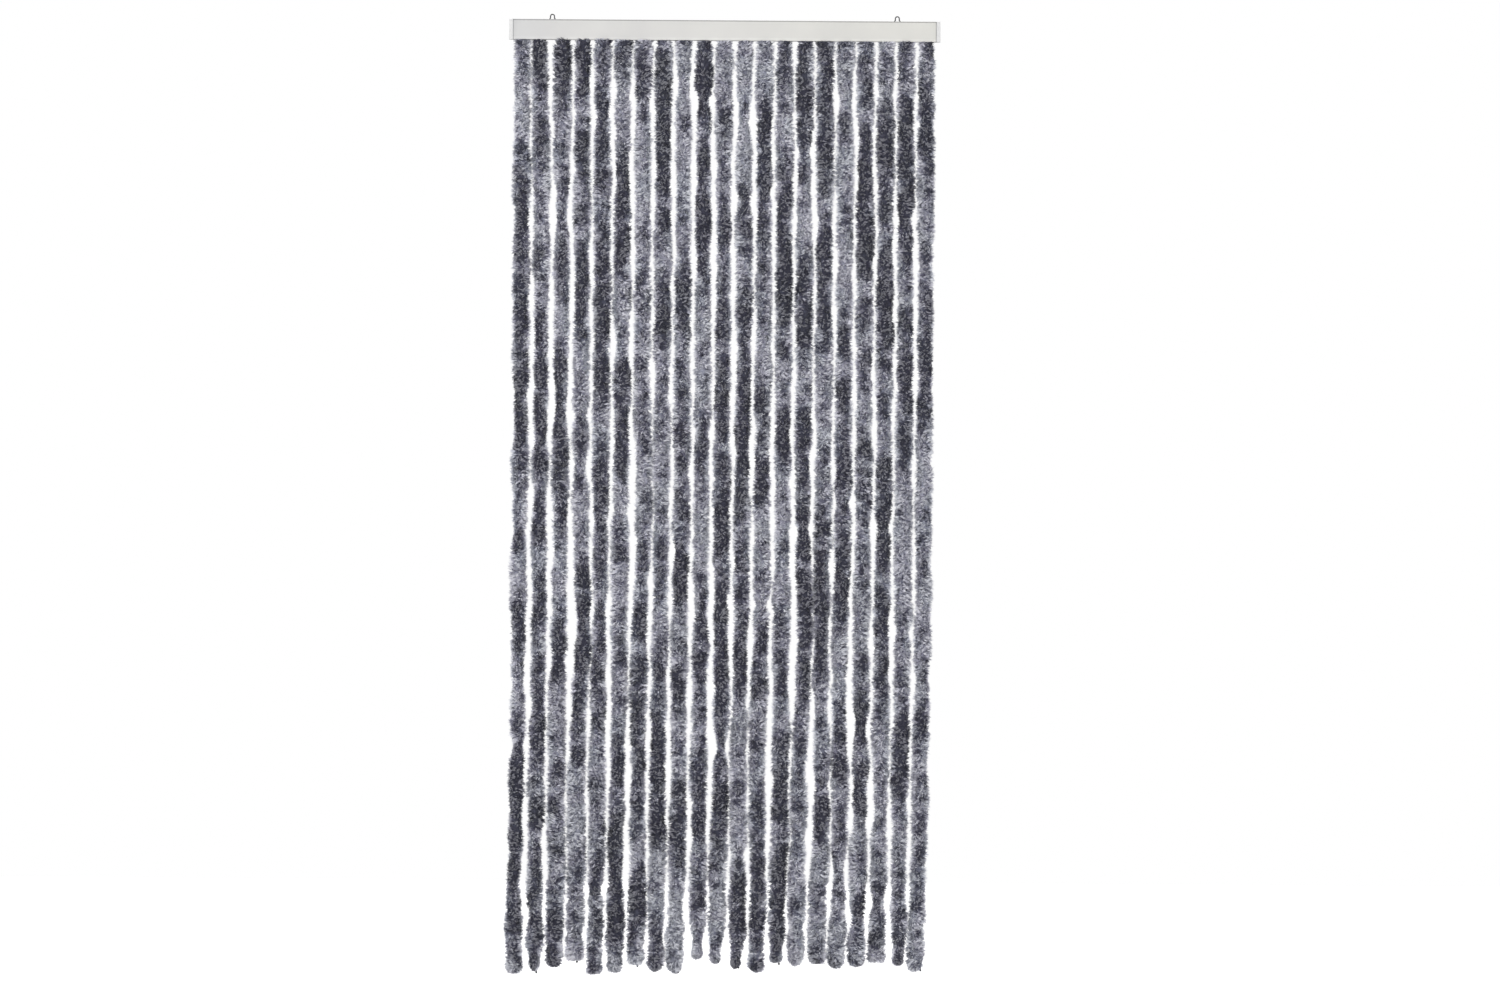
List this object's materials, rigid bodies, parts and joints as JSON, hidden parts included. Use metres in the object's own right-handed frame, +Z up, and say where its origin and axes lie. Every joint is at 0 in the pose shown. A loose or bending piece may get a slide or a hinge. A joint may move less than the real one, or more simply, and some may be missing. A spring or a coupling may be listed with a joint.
{
  "type": "chenille fly curtain",
  "caption": "Doorway fly curtain: soft grey chenille strands hang side by side from a white rail with end caps and two wire hanging eyes, and each strand swings on its own knot.",
  "frame": {"origin": "midway between the two points where the hooks bear, at the inside top of the two hanging eyes", "axes": "+Z up, along the strands; +Y towards the back, where the rail faces the door frame; +X to the right as seen from the front"},
  "size_m": [0.9, 0.0446, 2.0039],
  "materials": {
    "coated_rail": "satin off-white coat on aluminium",
    "cap_plastic": "satin white moulded plastic",
    "steel_wire": "dull drawn wire",
    "strip_plastic": "plain extruded plastic",
    "chenille_pile": "mottled grey cut pile",
    "cord_fibre": "dark twisted polyester cord"
  },
  "bodies": {
    "header": {"header_rail": "coated_rail", "end_cap_left": "cap_plastic", "end_cap_right": "cap_plastic", "hanging_eye_left": "steel_wire", "hanging_eye_right": "steel_wire", "carrier_strip": "strip_plastic"},
    "strand_01": {"pile_01": "chenille_pile", "core_cord_01": "cord_fibre"},
    "strand_02": {"pile_02": "chenille_pile", "core_cord_02": "cord_fibre"},
    "strand_03": {"pile_03": "chenille_pile", "core_cord_03": "cord_fibre"},
    "strand_04": {"pile_04": "chenille_pile", "core_cord_04": "cord_fibre"},
    "strand_05": {"pile_05": "chenille_pile", "core_cord_05": "cord_fibre"},
    "strand_06": {"pile_06": "chenille_pile", "core_cord_06": "cord_fibre"},
    "strand_07": {"pile_07": "chenille_pile", "core_cord_07": "cord_fibre"},
    "strand_08": {"pile_08": "chenille_pile", "core_cord_08": "cord_fibre"},
    "strand_09": {"pile_09": "chenille_pile", "core_cord_09": "cord_fibre"},
    "strand_10": {"pile_10": "chenille_pile", "core_cord_10": "cord_fibre"},
    "strand_11": {"pile_11": "chenille_pile", "core_cord_11": "cord_fibre"},
    "strand_12": {"pile_12": "chenille_pile", "core_cord_12": "cord_fibre"},
    "strand_13": {"pile_13": "chenille_pile", "core_cord_13": "cord_fibre"},
    "strand_14": {"pile_14": "chenille_pile", "core_cord_14": "cord_fibre"},
    "strand_15": {"pile_15": "chenille_pile", "core_cord_15": "cord_fibre"},
    "strand_16": {"pile_16": "chenille_pile", "core_cord_16": "cord_fibre"},
    "strand_17": {"pile_17": "chenille_pile", "core_cord_17": "cord_fibre"},
    "strand_18": {"pile_18": "chenille_pile", "core_cord_18": "cord_fibre"},
    "strand_19": {"pile_19": "chenille_pile", "core_cord_19": "cord_fibre"},
    "strand_20": {"pile_20": "chenille_pile", "core_cord_20": "cord_fibre"},
    "strand_21": {"pile_21": "chenille_pile", "core_cord_21": "cord_fibre"}
  },
  "joints": [
    {"name": "strand_01_swing", "type": "hinge", "parent": "header", "child": "strand_01", "pos_m": [-0.422, 0, -0.04527], "axis": [1, 0, 0], "range_deg": [-40, 40]},
    {"name": "strand_02_swing", "type": "hinge", "parent": "header", "child": "strand_02", "pos_m": [-0.3798, 0, -0.04527], "axis": [1, 0, 0], "range_deg": [-40, 40]},
    {"name": "strand_03_swing", "type": "hinge", "parent": "header", "child": "strand_03", "pos_m": [-0.3376, 0, -0.04527], "axis": [1, 0, 0], "range_deg": [-40, 40]},
    {"name": "strand_04_swing", "type": "hinge", "parent": "header", "child": "strand_04", "pos_m": [-0.2954, 0, -0.04527], "axis": [1, 0, 0], "range_deg": [-40, 40]},
    {"name": "strand_05_swing", "type": "hinge", "parent": "header", "child": "strand_05", "pos_m": [-0.2532, 0, -0.04527], "axis": [1, 0, 0], "range_deg": [-40, 40]},
    {"name": "strand_06_swing", "type": "hinge", "parent": "header", "child": "strand_06", "pos_m": [-0.211, 0, -0.04527], "axis": [1, 0, 0], "range_deg": [-40, 40]},
    {"name": "strand_07_swing", "type": "hinge", "parent": "header", "child": "strand_07", "pos_m": [-0.1688, 0, -0.04527], "axis": [1, 0, 0], "range_deg": [-40, 40]},
    {"name": "strand_08_swing", "type": "hinge", "parent": "header", "child": "strand_08", "pos_m": [-0.1266, 0, -0.04527], "axis": [1, 0, 0], "range_deg": [-40, 40]},
    {"name": "strand_09_swing", "type": "hinge", "parent": "header", "child": "strand_09", "pos_m": [-0.0844, 0, -0.04527], "axis": [1, 0, 0], "range_deg": [-40, 40]},
    {"name": "strand_10_swing", "type": "hinge", "parent": "header", "child": "strand_10", "pos_m": [-0.0422, 0, -0.04527], "axis": [1, 0, 0], "range_deg": [-40, 40]},
    {"name": "strand_11_swing", "type": "hinge", "parent": "header", "child": "strand_11", "pos_m": [0, 0, -0.04527], "axis": [1, 0, 0], "range_deg": [-40, 40]},
    {"name": "strand_12_swing", "type": "hinge", "parent": "header", "child": "strand_12", "pos_m": [0.0422, 0, -0.04527], "axis": [1, 0, 0], "range_deg": [-40, 40]},
    {"name": "strand_13_swing", "type": "hinge", "parent": "header", "child": "strand_13", "pos_m": [0.0844, 0, -0.04527], "axis": [1, 0, 0], "range_deg": [-40, 40]},
    {"name": "strand_14_swing", "type": "hinge", "parent": "header", "child": "strand_14", "pos_m": [0.1266, 0, -0.04527], "axis": [1, 0, 0], "range_deg": [-40, 40]},
    {"name": "strand_15_swing", "type": "hinge", "parent": "header", "child": "strand_15", "pos_m": [0.1688, 0, -0.04527], "axis": [1, 0, 0], "range_deg": [-40, 40]},
    {"name": "strand_16_swing", "type": "hinge", "parent": "header", "child": "strand_16", "pos_m": [0.211, 0, -0.04527], "axis": [1, 0, 0], "range_deg": [-40, 40]},
    {"name": "strand_17_swing", "type": "hinge", "parent": "header", "child": "strand_17", "pos_m": [0.2532, 0, -0.04527], "axis": [1, 0, 0], "range_deg": [-40, 40]},
    {"name": "strand_18_swing", "type": "hinge", "parent": "header", "child": "strand_18", "pos_m": [0.2954, 0, -0.04527], "axis": [1, 0, 0], "range_deg": [-40, 40]},
    {"name": "strand_19_swing", "type": "hinge", "parent": "header", "child": "strand_19", "pos_m": [0.3376, 0, -0.04527], "axis": [1, 0, 0], "range_deg": [-40, 40]},
    {"name": "strand_20_swing", "type": "hinge", "parent": "header", "child": "strand_20", "pos_m": [0.3798, 0, -0.04527], "axis": [1, 0, 0], "range_deg": [-40, 40]},
    {"name": "strand_21_swing", "type": "hinge", "parent": "header", "child": "strand_21", "pos_m": [0.422, 0, -0.04527], "axis": [1, 0, 0], "range_deg": [-40, 40]}
  ]
}
